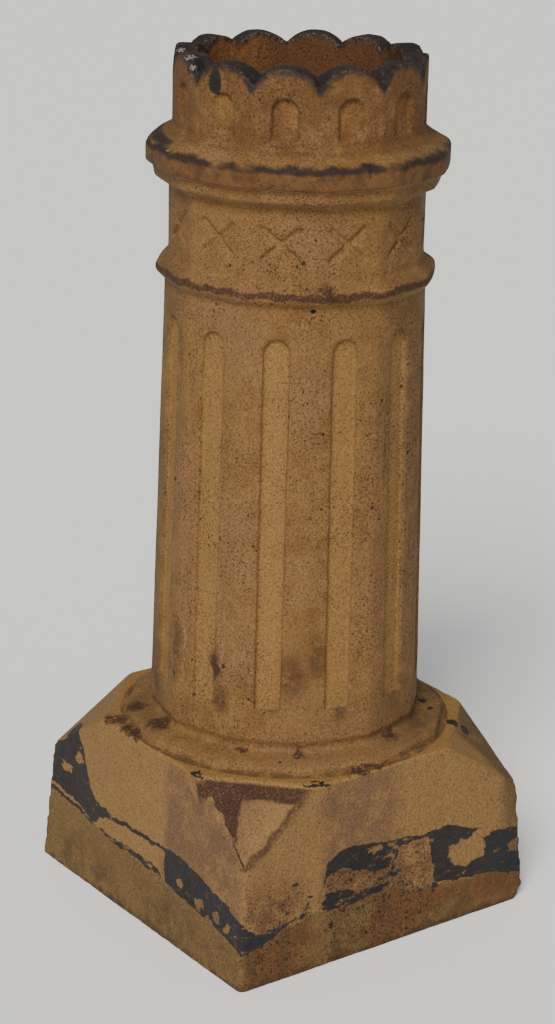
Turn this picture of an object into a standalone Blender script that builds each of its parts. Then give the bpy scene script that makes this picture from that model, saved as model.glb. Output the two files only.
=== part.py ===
"""A tall buff fireclay chimney pot, pressed and fired as one hollow piece.

It stands on a square broached plinth. Above the plinth everything has twelve sides: a
rounded ring, a tapering fluted shaft, an astragal, a frieze with a sunk cross on each
side, a moulded cornice and a crown with a niche and a scallop on each side. The flue runs
right through. Metres, +Z up, origin at the middle of the underside.
"""

import math

import bmesh
import bpy

# Sides of the shaft and everything above it
SIDES = 12

# Square plinth, with its corners broached off above the corner arrises
PLINTH_SIDE = 0.381
PLINTH_HEIGHT = 0.200
PLINTH_BATTER = 0.071
BROACH_HEIGHT = 0.065
BROACH_CUT = 0.093

# Rounded ring on the plinth and the small hollow moulding above it
RING_SET_BACK = 0.002
RING_PROJECTION = 0.0295
RING_EDGE = 0.005
RING_CROWNING = 0.007
SCOTIA_HEIGHT = 0.011
SCOTIA_DEPTH = 0.003

# Shaft and its flutes
SHAFT_HEIGHT = 0.459
SHAFT_DIMINISH = 0.0102
FLUTE_WIDTH = 0.029
FLUTE_DEPTH = 0.005
FLUTE_DRAFT = 0.0025
FLUTE_FOOT_MARGIN = 0.033
FLUTE_HEAD_MARGIN = 0.031

# Astragal between shaft and frieze
ASTRAGAL_HEIGHT = 0.024
ASTRAGAL_PROJECTION = 0.011

# Frieze and its sunk crosses
FRIEZE_HEIGHT = 0.074
FRIEZE_SET_IN = 0.0032
CROSS_WIDTH = 0.0410
CROSS_HEIGHT = 0.0370
CROSS_STROKE = 0.0070
CROSS_DEPTH = 0.003
CROSS_DRAFT = 0.001

# Cornice: sloping underside, lower band, upper band and weathered top
SOFFIT_RISE = 0.007
LOWER_BAND_HEIGHT = 0.012
LOWER_BAND_PROJECTION = 0.0165
LOWER_BAND_FLARE = 0.002
STEP_RISE = 0.003
UPPER_BAND_HEIGHT = 0.021
UPPER_BAND_PROJECTION = 0.0238
WEATHERING_RISE = 0.013
ARRIS_EASE = 0.002

# Crown, its niches and its scallops
CROWN_HEIGHT = 0.078
CROWN_SET_IN = 0.0027
NICHE_WIDTH = 0.0280
NICHE_HEIGHT = 0.0425
NICHE_SILL = 0.0075
NICHE_DEPTH = 0.004
NICHE_DRAFT = 0.0015
SCALLOP_RISE = 0.019

# Hollow inside: the walls, and how far below the corner arrises the square hollow narrows
WALL = 0.022
PLINTH_WALL = 0.028
SHOULDER_DROP = 0.045

# How finely curves are cut into flats
SCALLOP_STEPS = 10
ARCH_STEPS = 10
MOULDING_STEPS = 5
FLUE_FLATS = 48

# How far a cutting shape runs past the surface that it cuts
OVERRUN = 0.006

CLAY_COLOUR = (0.31, 0.17, 0.07, 1.0)
CLAY_ROUGHNESS = 0.85

# Half the angle that one side spans, and the flat-to-corner ratio that follows from it
HALF_SPAN = math.pi / SIDES
FLAT = math.cos(HALF_SPAN)


def clear_scene():
    for item in list(bpy.data.objects):
        bpy.data.objects.remove(item)


def levels():
    """Heights of the joints between the stages, from the ground up."""
    plinth = PLINTH_HEIGHT
    ring = plinth + RING_EDGE + RING_CROWNING
    shaft_foot = ring + SCOTIA_HEIGHT
    shaft_head = shaft_foot + SHAFT_HEIGHT
    frieze_foot = shaft_head + ASTRAGAL_HEIGHT
    frieze_head = frieze_foot + FRIEZE_HEIGHT
    bands = LOWER_BAND_HEIGHT + STEP_RISE + UPPER_BAND_HEIGHT
    crown_foot = frieze_head + SOFFIT_RISE + bands + WEATHERING_RISE
    return {
        "plinth": plinth,
        "ring": ring,
        "shaft_foot": shaft_foot,
        "shaft_head": shaft_head,
        "frieze_foot": frieze_foot,
        "frieze_head": frieze_head,
        "crown_foot": crown_foot,
        "top": crown_foot + CROWN_HEIGHT,
    }


def radii():
    """Corner radii of the twelve-sided stages, each set off from the one below."""
    ring = plinth_half(PLINTH_HEIGHT) - RING_SET_BACK
    shaft_foot = ring - RING_PROJECTION
    shaft_head = shaft_foot - SHAFT_DIMINISH
    frieze = shaft_head - FRIEZE_SET_IN
    return {
        "ring": ring,
        "shaft_foot": shaft_foot,
        "shaft_head": shaft_head,
        "frieze": frieze,
        "crown": frieze - CROWN_SET_IN,
    }


def plinth_half(height):
    """Half the plinth's width at a height, less for the lean of its faces."""
    return PLINTH_SIDE / 2 - PLINTH_BATTER * height


def add_object(name, mesh_builder):
    """Build a mesh with bmesh and link it as one object with outward faces."""
    bm = bmesh.new()
    mesh_builder(bm)
    bmesh.ops.recalc_face_normals(bm, faces=bm.faces)
    mesh = bpy.data.meshes.new(name)
    bm.to_mesh(mesh)
    bm.free()
    item = bpy.data.objects.new(name, mesh)
    bpy.context.collection.objects.link(item)
    return item


def add_guide(name, mesh_builder):
    """Build a shape that is only added to or cut from the pot."""
    item = add_object(name, mesh_builder)
    item.hide_render = True
    item.display_type = "WIRE"
    return item


def polygon_ring(bm, corner_radius, z):
    """One level of the twelve-sided body, with its first corner on the -Y side."""
    ring = []
    for index in range(SIDES):
        angle = 2 * HALF_SPAN * index
        x = corner_radius * math.sin(angle)
        y = -corner_radius * math.cos(angle)
        ring.append(bm.verts.new((x, y, z)))
    return ring


def join_rings(bm, rings, closed_ends=True):
    """Skin a stack of rings that have the same number of points."""
    for low, high in zip(rings, rings[1:]):
        count = len(low)
        for index in range(count):
            after = (index + 1) % count
            bm.faces.new((low[index], low[after], high[after], high[index]))
    if closed_ends:
        bm.faces.new(rings[0])
        bm.faces.new(rings[-1])


def ring_moulding(z, radius):
    """Short upright edge, then a flat quarter round that runs in to the shaft."""
    inner = radius["shaft_foot"]
    points = [(radius["ring"], z["plinth"])]
    for step in range(MOULDING_STEPS + 1):
        turn = 0.5 * math.pi * step / MOULDING_STEPS
        r = inner + RING_PROJECTION * math.cos(turn)
        height = z["plinth"] + RING_EDGE + RING_CROWNING * math.sin(turn)
        points.append((r, height))
    return points


def scotia_moulding(z, radius):
    """Small hollow between the ring and the foot of the shaft."""
    points = []
    for step in range(1, MOULDING_STEPS + 1):
        share = step / MOULDING_STEPS
        r = radius["shaft_foot"] - SCOTIA_DEPTH * math.sin(math.pi * share)
        points.append((r, z["ring"] + SCOTIA_HEIGHT * share))
    return points


def astragal_moulding(z, radius):
    """Half round that grows out of the shaft and dies into the set-in frieze."""
    points = []
    steps = 2 * MOULDING_STEPS
    for step in range(steps + 1):
        share = step / steps
        turn = math.pi * (share - 0.5)
        base = radius["shaft_head"] - FRIEZE_SET_IN * share
        r = base + ASTRAGAL_PROJECTION * math.cos(turn)
        height = z["shaft_head"] + ASTRAGAL_HEIGHT * (1 + math.sin(turn)) / 2
        points.append((r, height))
    return points


def cornice_moulding(z, radius):
    """Soffit, lower band, step, upper band and the slope that sheds the rain."""
    frieze = radius["frieze"]
    lower = frieze + LOWER_BAND_PROJECTION
    upper = frieze + UPPER_BAND_PROJECTION
    soffit_top = z["frieze_head"] + SOFFIT_RISE
    step_foot = soffit_top + LOWER_BAND_HEIGHT
    band_foot = step_foot + STEP_RISE
    band_top = band_foot + UPPER_BAND_HEIGHT
    return [
        (frieze, z["frieze_head"]),
        (lower - LOWER_BAND_FLARE, soffit_top),
        (lower, step_foot),
        (upper, band_foot),
        (upper, band_top - ARRIS_EASE),
        (upper - ARRIS_EASE, band_top),
        (radius["crown"], z["crown_foot"]),
    ]


def build_body(bm):
    """The twelve-sided body as a solid, sunk a little into the plinth."""
    z = levels()
    radius = radii()
    profile = [(radius["ring"], z["plinth"] - OVERRUN)]
    profile += ring_moulding(z, radius)
    profile += scotia_moulding(z, radius)
    profile += astragal_moulding(z, radius)
    profile += cornice_moulding(z, radius)
    profile.append((radius["crown"], z["top"] + OVERRUN))
    join_rings(bm, [polygon_ring(bm, r, height) for r, height in profile])


def build_plinth(bm):
    """Square block with leaning faces and a sloping triangular facet at each corner."""
    corner_height = PLINTH_HEIGHT - BROACH_HEIGHT
    base = PLINTH_SIDE / 2
    shoulder = plinth_half(corner_height)
    top = plinth_half(PLINTH_HEIGHT)
    run = top - BROACH_CUT
    signs = ((-1, -1), (1, -1), (1, 1), (-1, 1))
    feet = [bm.verts.new((sx * base, sy * base, 0)) for sx, sy in signs]
    arrises = [bm.verts.new((sx * shoulder, sy * shoulder, corner_height)) for sx, sy in signs]
    along_x = [bm.verts.new((sx * run, sy * top, PLINTH_HEIGHT)) for sx, sy in signs]
    along_y = [bm.verts.new((sx * top, sy * run, PLINTH_HEIGHT)) for sx, sy in signs]
    outline = []
    for index, (sx, sy) in enumerate(signs):
        after = (index + 1) % 4
        on_y_face = sy == signs[after][1]
        near = along_x if on_y_face else along_y
        bm.faces.new(
            (feet[index], feet[after], arrises[after], near[after], near[index], arrises[index])
        )
        bm.faces.new((arrises[index], along_x[index], along_y[index]))
        outline += [along_y[index], along_x[index]] if on_y_face else [along_x[index], along_y[index]]
    bm.faces.new(outline)
    bm.faces.new(feet)


def flue_ring(bm, z, round_radius, square_half, squareness):
    """One level of the hollow, between a square and a circle."""
    ring = []
    for index in range(FLUE_FLATS):
        angle = 2 * math.pi * index / FLUE_FLATS
        east = math.sin(angle)
        north = -math.cos(angle)
        square_radius = square_half / max(abs(east), abs(north))
        r = round_radius + (square_radius - round_radius) * squareness
        ring.append(bm.verts.new((r * east, r * north, z)))
    return ring


def bore_radius(height):
    """Radius of the round flue, on a straight line from the shaft's foot to the crown."""
    z = levels()
    radius = radii()
    foot = radius["shaft_foot"] * FLAT - WALL
    head = radius["crown"] * FLAT - WALL
    share = (height - z["shaft_foot"]) / (z["top"] - z["shaft_foot"])
    return foot + (head - foot) * share


def build_flue(bm):
    """The hollow: square in the plinth, drawn in to the round flue, then straight up."""
    z = levels()
    shoulder = PLINTH_HEIGHT - BROACH_HEIGHT - SHOULDER_DROP
    half_foot = plinth_half(0) - PLINTH_WALL
    half_shoulder = plinth_half(shoulder) - PLINTH_WALL
    over = z["top"] + 2 * OVERRUN
    rings = [
        flue_ring(bm, -OVERRUN, half_foot, half_foot, 1),
        flue_ring(bm, shoulder, half_shoulder, half_shoulder, 1),
        flue_ring(bm, z["shaft_foot"], bore_radius(z["shaft_foot"]), half_shoulder, 0),
        flue_ring(bm, over, bore_radius(over), half_shoulder, 0),
    ]
    join_rings(bm, rings)


def scallop_height(along):
    """Height of the crown's edge at a distance from the middle of one side."""
    half_side = radii()["crown"] * math.sin(HALF_SPAN)
    arc = (half_side**2 + SCALLOP_RISE**2) / (2 * SCALLOP_RISE)
    return levels()["top"] - arc + math.sqrt(arc**2 - along**2)


def scallop_ring(bm, flat_radius, z=None):
    """Points round the crown at one distance in, on the scallops or at a flat height."""
    ring = []
    half = flat_radius * math.tan(HALF_SPAN)
    for side in range(SIDES):
        middle = 2 * HALF_SPAN * (side + 0.5)
        for step in range(SCALLOP_STEPS):
            along = half * (2 * step / SCALLOP_STEPS - 1)
            x = flat_radius * math.sin(middle) + along * math.cos(middle)
            y = -flat_radius * math.cos(middle) + along * math.sin(middle)
            height = scallop_height(along) if z is None else z
            ring.append(bm.verts.new((x, y, height)))
    return ring


def build_scallops(bm):
    """Everything above the scalloped edge, each arc run straight through the wall."""
    over = levels()["top"] + 2 * OVERRUN
    outside = radii()["crown"] * FLAT + OVERRUN / 2
    inside = bore_radius(levels()["top"]) - OVERRUN
    middle = (outside + inside) / 2
    rings = [
        scallop_ring(bm, outside),
        scallop_ring(bm, middle),
        scallop_ring(bm, inside),
        scallop_ring(bm, inside, over),
        scallop_ring(bm, outside, over),
    ]
    join_rings(bm, rings + rings[:1], closed_ends=False)


def sink(bm, outline, depth, draft, side, surface):
    """Add a cutter for a sunk panel on one side of the body.

    outline(inset) gives (along, height) points, and surface(height) is how far the flat of
    the body stands from the axis there, so the panel's floor follows a tapering side.
    """
    middle = 2 * HALF_SPAN * (side + 0.5)
    slope = draft / depth
    loops = []
    for outward in (-depth, OVERRUN):
        loop = []
        for along, height in outline(-slope * outward):
            out = surface(height) + outward
            x = out * math.sin(middle) + along * math.cos(middle)
            y = -out * math.cos(middle) + along * math.sin(middle)
            loop.append(bm.verts.new((x, y, height)))
        loops.append(loop)
    join_rings(bm, loops)


def arched(width, foot, head, inset):
    """Outline of a panel with a level sill and a round head."""
    half = width / 2 - inset
    spring = head - width / 2
    points = [(-half, foot + inset), (half, foot + inset)]
    for step in range(ARCH_STEPS + 1):
        turn = math.pi * step / ARCH_STEPS
        points.append((half * math.cos(turn), spring + half * math.sin(turn)))
    return points


def shaft_flat(height):
    """Distance from the axis to the flat of the tapering shaft."""
    z = levels()
    radius = radii()
    share = (height - z["shaft_foot"]) / SHAFT_HEIGHT
    return (radius["shaft_foot"] - SHAFT_DIMINISH * share) * FLAT


def flute_outline(inset):
    z = levels()
    foot = z["shaft_foot"] + FLUTE_FOOT_MARGIN
    head = z["shaft_head"] - FLUTE_HEAD_MARGIN
    return arched(FLUTE_WIDTH, foot, head, inset)


def niche_outline(inset):
    sill = levels()["crown_foot"] + NICHE_SILL
    return arched(NICHE_WIDTH, sill, sill + NICHE_HEIGHT, inset)


def cross_outline(inset):
    """Twelve corners of a saltire, whose strokes end square, centred in the frieze."""
    z = levels()
    centre = (z["frieze_foot"] + z["frieze_head"]) / 2
    half = CROSS_STROKE / 2 - inset
    lean = math.atan2(CROSS_HEIGHT - CROSS_STROKE, CROSS_WIDTH - CROSS_STROKE)
    reach = math.hypot(CROSS_HEIGHT - CROSS_STROKE, CROSS_WIDTH - CROSS_STROKE) / 2
    reach += CROSS_STROKE / 2 - inset
    arms = (lean, math.pi - lean, math.pi + lean, 2 * math.pi - lean)
    points = []
    for index, turn in enumerate(arms):
        across = (-math.sin(turn), math.cos(turn))
        tip = (reach * math.cos(turn), reach * math.sin(turn))
        points.append((tip[0] - half * across[0], centre + tip[1] - half * across[1]))
        points.append((tip[0] + half * across[0], centre + tip[1] + half * across[1]))
        following = arms[(index + 1) % 4] + (2 * math.pi if index == 3 else 0)
        bisector = (turn + following) / 2
        notch = half / math.sin((following - turn) / 2)
        points.append((notch * math.cos(bisector), centre + notch * math.sin(bisector)))
    return points


def build_carving(bm):
    """Flutes, crosses and niches, one of each on every side."""
    radius = radii()
    for side in range(SIDES):
        sink(bm, flute_outline, FLUTE_DEPTH, FLUTE_DRAFT, side, shaft_flat)
        sink(bm, cross_outline, CROSS_DEPTH, CROSS_DRAFT, side, lambda _: radius["frieze"] * FLAT)
        sink(bm, niche_outline, NICHE_DEPTH, NICHE_DRAFT, side, lambda _: radius["crown"] * FLAT)


def fireclay():
    """Buff fireclay, fired matt."""
    material = bpy.data.materials.new("buff_fireclay")
    material.use_nodes = True
    shader = material.node_tree.nodes["Principled BSDF"]
    shader.inputs["Base Color"].default_value = CLAY_COLOUR
    shader.inputs["Roughness"].default_value = CLAY_ROUGHNESS
    shader.inputs["Metallic"].default_value = 0.0
    return material


def combine(pot, other, operation):
    """Keep a live exact Boolean on the pot."""
    step = pot.modifiers.new(other.name, "BOOLEAN")
    step.operation = operation
    step.solver = "EXACT"
    step.object = other


def main():
    clear_scene()
    pot = add_object("chimney_pot", build_body)
    pot.data.materials.append(fireclay())
    combine(pot, add_guide("plinth_block", build_plinth), "UNION")
    combine(pot, add_guide("flue_hollow", build_flue), "DIFFERENCE")
    combine(pot, add_guide("scallop_cut", build_scallops), "DIFFERENCE")
    combine(pot, add_guide("sunk_carving", build_carving), "DIFFERENCE")


main()
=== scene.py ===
# A weathered buff fireclay chimney pot, standing on a pale studio floor.
# Metres, +Z up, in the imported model's own frame.
import math

import bmesh
import bpy
import numpy as np
from mathutils import Matrix, Vector, noise


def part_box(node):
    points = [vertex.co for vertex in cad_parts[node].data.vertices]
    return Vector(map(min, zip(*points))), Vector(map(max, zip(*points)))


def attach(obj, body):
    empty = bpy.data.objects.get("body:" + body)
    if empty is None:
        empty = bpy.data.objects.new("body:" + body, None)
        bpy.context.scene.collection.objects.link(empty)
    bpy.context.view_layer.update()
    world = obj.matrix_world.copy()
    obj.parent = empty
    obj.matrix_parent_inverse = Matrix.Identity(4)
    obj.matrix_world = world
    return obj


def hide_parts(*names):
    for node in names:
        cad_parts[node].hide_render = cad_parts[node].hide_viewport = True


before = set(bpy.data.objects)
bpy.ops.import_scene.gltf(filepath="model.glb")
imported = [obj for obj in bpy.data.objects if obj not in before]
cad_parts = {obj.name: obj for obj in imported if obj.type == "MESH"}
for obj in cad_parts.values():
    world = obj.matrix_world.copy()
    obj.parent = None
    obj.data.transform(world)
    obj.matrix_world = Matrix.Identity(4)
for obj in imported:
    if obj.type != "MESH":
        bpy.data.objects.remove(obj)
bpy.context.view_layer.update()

# The camera, a long lens a little above the pot's top and to the left of its front face.
# Its place and turn were worked out from the plinth's edges and the lines of the mouldings.
CAMERA_PLACE = (-1.5498, -2.0505, 1.3303)
CAMERA_PAN = math.radians(-36.802)
CAMERA_TILT = math.radians(19.394)
CAMERA_ROLL = math.radians(1.460)
CAMERA_LENS = 90.91

camera_data = bpy.data.cameras.new("camera")
camera_data.lens = CAMERA_LENS
camera_data.sensor_width = 36.0
camera_data.clip_start = 0.05
camera_data.clip_end = 50.0
camera = bpy.data.objects.new("camera", camera_data)
bpy.context.scene.collection.objects.link(camera)
camera.matrix_world = (
    Matrix.Translation(CAMERA_PLACE)
    @ Matrix.Rotation(CAMERA_PAN, 4, "Z")
    @ Matrix.Rotation(math.pi / 2 - CAMERA_TILT, 4, "X")
    @ Matrix.Rotation(CAMERA_ROLL, 4, "Z")
)
bpy.context.scene.camera = camera

# The studio: a plain pale floor, one wide soft light high behind the camera's left, and pale
# air all round that fills the shadows.
FLOOR_SIZE = 60.0
FLOOR_COLOUR = (0.92, 0.92, 0.915, 1.0)
AIR_COLOUR = (0.96, 0.98, 1.0, 1.0)
AIR_STRENGTH = 0.30
KEY_BEARING = math.radians(-50)
KEY_RISE = math.radians(42)
KEY_WIDTH = math.radians(26)
KEY_COLOUR = (1.0, 0.975, 0.94)
KEY_STRENGTH = 4.1

bpy.ops.object.select_all(action="DESELECT")
bpy.ops.mesh.primitive_plane_add(size=FLOOR_SIZE, location=(0, 0, 0))
floor = bpy.context.object
floor.name = "floor"
floor_paint = bpy.data.materials.new("floor_paint")
floor_paint.use_nodes = True
floor_shader = floor_paint.node_tree.nodes["Principled BSDF"]
floor_shader.inputs["Base Color"].default_value = FLOOR_COLOUR
floor_shader.inputs["Roughness"].default_value = 0.9
floor_shader.inputs["Specular IOR Level"].default_value = 0.1
floor.data.materials.append(floor_paint)

air = bpy.data.worlds.new("studio_air")
air.use_nodes = True
air.node_tree.nodes["Background"].inputs["Color"].default_value = AIR_COLOUR
air.node_tree.nodes["Background"].inputs["Strength"].default_value = AIR_STRENGTH
bpy.context.scene.world = air

key_data = bpy.data.lights.new("key_light", "SUN")
key_data.angle = KEY_WIDTH
key_data.color = KEY_COLOUR
key_data.energy = KEY_STRENGTH
key = bpy.data.objects.new("key_light", key_data)
key_from = Vector((math.sin(KEY_BEARING), -math.cos(KEY_BEARING), math.tan(KEY_RISE)))
key.rotation_euler = (-key_from).to_track_quat("-Z", "Y").to_euler()
bpy.context.scene.collection.objects.link(key)

# The pot's outside as it left the mould: a square broached plinth with the twelve-sided ring,
# shaft, astragal, frieze, cornice and crown standing on it. Pressed fireclay, in one piece
# with all that follows, up to the finish. Corner radii and heights, from the ground up.
SIDES = 12
SIDE_ANGLE = 2 * math.pi / SIDES
FLAT = math.cos(SIDE_ANGLE / 2)
POT_LOW, POT_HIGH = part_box("chimney_pot")
POT_HEIGHT = POT_HIGH[2]
PLINTH_SIDE = POT_HIGH[0] - POT_LOW[0]
PLINTH_HEIGHT = 0.200
PLINTH_BATTER = 0.071
BROACH_HEIGHT = 0.065
BROACH_CUT = 0.093
PLINTH_TOP_HALF = PLINTH_SIDE / 2 - PLINTH_BATTER * PLINTH_HEIGHT
RING_RADIUS = PLINTH_TOP_HALF - 0.002
SHAFT_FOOT_RADIUS = RING_RADIUS - 0.0295
SHAFT_HEAD_RADIUS = SHAFT_FOOT_RADIUS - 0.0102
FRIEZE_RADIUS = SHAFT_HEAD_RADIUS - 0.0032
CROWN_RADIUS = FRIEZE_RADIUS - 0.0027
SHAFT_FOOT = PLINTH_HEIGHT + 0.023
SHAFT_HEAD = SHAFT_FOOT + 0.459
FRIEZE_FOOT = SHAFT_HEAD + 0.024
FRIEZE_HEAD = FRIEZE_FOOT + 0.074
CROWN_FOOT = FRIEZE_HEAD + 0.056
OVERRUN = 0.012
POT_PROFILE = (
    (RING_RADIUS, PLINTH_HEIGHT - OVERRUN),
    (RING_RADIUS, PLINTH_HEIGHT + 0.0045),
    (RING_RADIUS - 0.0015, PLINTH_HEIGHT + 0.0065),
    (RING_RADIUS - 0.0065, PLINTH_HEIGHT + 0.0088),
    (RING_RADIUS - 0.015, PLINTH_HEIGHT + 0.0107),
    (RING_RADIUS - 0.0245, PLINTH_HEIGHT + 0.0117),
    (SHAFT_FOOT_RADIUS - 0.0018, PLINTH_HEIGHT + 0.0135),
    (SHAFT_FOOT_RADIUS - 0.003, PLINTH_HEIGHT + 0.017),
    (SHAFT_FOOT_RADIUS - 0.0022, SHAFT_FOOT - 0.002),
    (SHAFT_FOOT_RADIUS, SHAFT_FOOT + 0.0015),
    (SHAFT_HEAD_RADIUS, SHAFT_HEAD),
    (SHAFT_HEAD_RADIUS + 0.0045, SHAFT_HEAD + 0.003),
    (SHAFT_HEAD_RADIUS + 0.0085, SHAFT_HEAD + 0.0068),
    (SHAFT_HEAD_RADIUS + 0.010, SHAFT_HEAD + 0.012),
    (SHAFT_HEAD_RADIUS + 0.008, SHAFT_HEAD + 0.0172),
    (SHAFT_HEAD_RADIUS + 0.003, SHAFT_HEAD + 0.0208),
    (FRIEZE_RADIUS, FRIEZE_FOOT + 0.001),
    (FRIEZE_RADIUS, FRIEZE_HEAD),
    (FRIEZE_RADIUS + 0.0145, FRIEZE_HEAD + 0.007),
    (FRIEZE_RADIUS + 0.0165, FRIEZE_HEAD + 0.019),
    (FRIEZE_RADIUS + 0.0238, FRIEZE_HEAD + 0.022),
    (FRIEZE_RADIUS + 0.0238, FRIEZE_HEAD + 0.041),
    (FRIEZE_RADIUS + 0.0218, FRIEZE_HEAD + 0.043),
    (CROWN_RADIUS + 0.006, CROWN_FOOT - 0.0025),
    (CROWN_RADIUS, CROWN_FOOT + 0.002),
    (CROWN_RADIUS, POT_HEIGHT + OVERRUN),
)


def place_mesh(item):
    """Leave the object at the origin, with its place in its mesh."""
    bpy.ops.object.mode_set(mode="OBJECT")
    bpy.ops.object.select_all(action="DESELECT")
    item.select_set(True)
    bpy.context.view_layer.objects.active = item
    bpy.ops.object.transform_apply(location=True, rotation=True, scale=True)


def edit_all(parts="FACE"):
    """Open the active object in edit mode, with all its faces, edges or points selected."""
    bpy.ops.object.mode_set(mode="EDIT")
    bpy.ops.mesh.select_mode(type=parts)
    bpy.ops.mesh.select_all(action="SELECT")


def close_outward(item):
    """Merge doubled points and point every face outwards."""
    edit_all("VERT")
    bpy.ops.mesh.remove_doubles(threshold=0.00005)
    bpy.ops.mesh.normals_make_consistent(inside=False)
    place_mesh(item)


def pick_faces(item, wanted):
    """In edit mode, select only the faces that pass a test of their middle and normal."""
    mesh = bmesh.from_edit_mesh(item.data)
    bpy.ops.mesh.select_mode(type="FACE")
    for face in mesh.faces:
        face.select_set(bool(wanted(face.calc_center_median(), face.normal)))
    mesh.select_flush_mode()
    bmesh.update_edit_mesh(item.data)


def extrude_by(*step):
    bpy.ops.mesh.extrude_region_move(TRANSFORM_OT_translate={"value": step})


def raise_profile(profile):
    """Lift and resize the selected face through a moulding's radii and heights."""
    for (radius, height), (next_radius, next_height) in zip(profile, profile[1:]):
        extrude_by(0, 0, next_height - height)
        ratio = next_radius / radius
        bpy.ops.transform.resize(value=(ratio, ratio, 1))


def join_shape(pot, tool, operation):
    """Cut a tool from the pot, or weld it on, and throw the tool away."""
    step = pot.modifiers.new(tool.name, "BOOLEAN")
    step.operation = operation
    step.solver = "EXACT"
    step.object = tool
    bpy.ops.object.select_all(action="DESELECT")
    bpy.context.view_layer.objects.active = pot
    bpy.ops.object.modifier_apply(modifier=step.name)
    bpy.data.objects.remove(tool)


bpy.ops.object.select_all(action="DESELECT")
bpy.ops.mesh.primitive_circle_add(
    vertices=SIDES, radius=POT_PROFILE[0][0], fill_type="NGON", location=(0, 0, POT_PROFILE[0][1])
)
pot = bpy.context.object
pot.name = "fired_pot"
edit_all()
raise_profile(POT_PROFILE)
close_outward(pot)

bpy.ops.object.select_all(action="DESELECT")
bpy.ops.mesh.primitive_cube_add(
    size=1, location=(0, 0, PLINTH_HEIGHT / 2), scale=(PLINTH_SIDE, PLINTH_SIDE, PLINTH_HEIGHT)
)
plinth = bpy.context.object
plinth.name = "plinth_block"
place_mesh(plinth)
bpy.ops.object.mode_set(mode="EDIT")
pick_faces(plinth, lambda middle, normal: normal.z > 0.9)
shrink = 2 * PLINTH_TOP_HALF / PLINTH_SIDE
bpy.ops.transform.resize(value=(shrink, shrink, 1))
CORNER_HEIGHT = PLINTH_HEIGHT - BROACH_HEIGHT
CORNER_HALF = PLINTH_SIDE / 2 - PLINTH_BATTER * CORNER_HEIGHT
for sx, sy in ((-1, -1), (1, -1), (1, 1), (-1, 1)):
    corner = Vector((sx * CORNER_HALF, sy * CORNER_HALF, CORNER_HEIGHT))
    along_x = Vector((sx * (PLINTH_TOP_HALF - BROACH_CUT), sy * PLINTH_TOP_HALF, PLINTH_HEIGHT))
    along_y = Vector((sx * PLINTH_TOP_HALF, sy * (PLINTH_TOP_HALF - BROACH_CUT), PLINTH_HEIGHT))
    slope = (along_x - corner).cross(along_y - corner).normalized()
    if slope.z < 0:
        slope.negate()
    bpy.ops.mesh.select_all(action="SELECT")
    bpy.ops.mesh.bisect(plane_co=corner, plane_no=slope, use_fill=True, clear_outer=True)
close_outward(plinth)
join_shape(pot, plinth, "UNION")

# The hollow, as the plunger left it: square in the plinth, drawn in to a round throat, and a
# slightly tapering flue up through the crown.
WALL = 0.022
PLINTH_WALL = 0.028
SHOULDER_HEIGHT = CORNER_HEIGHT - 0.045
FLUE_FLATS = 48
FLUE_FOOT_RADIUS = SHAFT_FOOT_RADIUS * FLAT - WALL
FLUE_HEAD_RADIUS = CROWN_RADIUS * FLAT - WALL
HOLLOW_FOOT_HALF = PLINTH_SIDE / 2 - PLINTH_WALL
HOLLOW_SHOULDER_HALF = HOLLOW_FOOT_HALF - PLINTH_BATTER * SHOULDER_HEIGHT

bpy.ops.object.select_all(action="DESELECT")
bpy.ops.mesh.primitive_circle_add(
    vertices=4, radius=HOLLOW_FOOT_HALF * math.sqrt(2), rotation=(0, 0, math.pi / 4),
    location=(0, 0, -OVERRUN)
)
hollow = bpy.context.object
hollow.name = "flue_hollow"
place_mesh(hollow)
edit_all("EDGE")
bpy.ops.mesh.subdivide(number_cuts=FLUE_FLATS // 4 - 1)
bpy.ops.mesh.select_all(action="SELECT")
extrude_by(0, 0, SHOULDER_HEIGHT + OVERRUN)
ratio = HOLLOW_SHOULDER_HALF / HOLLOW_FOOT_HALF
bpy.ops.transform.resize(value=(ratio, ratio, 1))
bpy.ops.object.mode_set(mode="OBJECT")
bpy.ops.object.select_all(action="DESELECT")
bpy.ops.mesh.primitive_circle_add(
    vertices=FLUE_FLATS, radius=FLUE_FOOT_RADIUS, location=(0, 0, SHAFT_FOOT)
)
bore = bpy.context.object
place_mesh(bore)
edit_all("EDGE")
extrude_by(0, 0, POT_HEIGHT + OVERRUN - SHAFT_FOOT)
ratio = FLUE_HEAD_RADIUS / FLUE_FOOT_RADIUS
bpy.ops.transform.resize(value=(ratio, ratio, 1))
bpy.ops.object.mode_set(mode="OBJECT")
hollow.select_set(True)
bpy.context.view_layer.objects.active = hollow
bpy.ops.object.join()
bpy.ops.object.mode_set(mode="EDIT")


def pick_edges(item, heights):
    """In edit mode, select only the level edges at one of the heights."""
    bpy.ops.mesh.select_mode(type="EDGE")
    bpy.ops.mesh.select_all(action="DESELECT")
    mesh = bmesh.from_edit_mesh(item.data)
    for edge in mesh.edges:
        for height in heights:
            if all(abs(point.co.z - height) < 0.0001 for point in edge.verts):
                edge.select_set(True)
    bmesh.update_edit_mesh(item.data)


pick_edges(hollow, (SHOULDER_HEIGHT, SHAFT_FOOT))
bpy.ops.mesh.bridge_edge_loops()
for end_height in (-OVERRUN, POT_HEIGHT + OVERRUN):
    pick_edges(hollow, (end_height,))
    bpy.ops.mesh.edge_face_add()
close_outward(hollow)
join_shape(pot, hollow, "DIFFERENCE")

# The scallops, wired off while the clay was wet: one arc a side, cut straight through the
# wall of the crown.
SCALLOP_RISE = 0.019
SCALLOP_STEPS = 10
SCALLOP_TOOL_HEIGHT = 0.04
CROWN_HALF_SIDE = CROWN_RADIUS * math.sin(SIDE_ANGLE / 2)
SCALLOP_ARC = (CROWN_HALF_SIDE**2 + SCALLOP_RISE**2) / (2 * SCALLOP_RISE)


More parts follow.
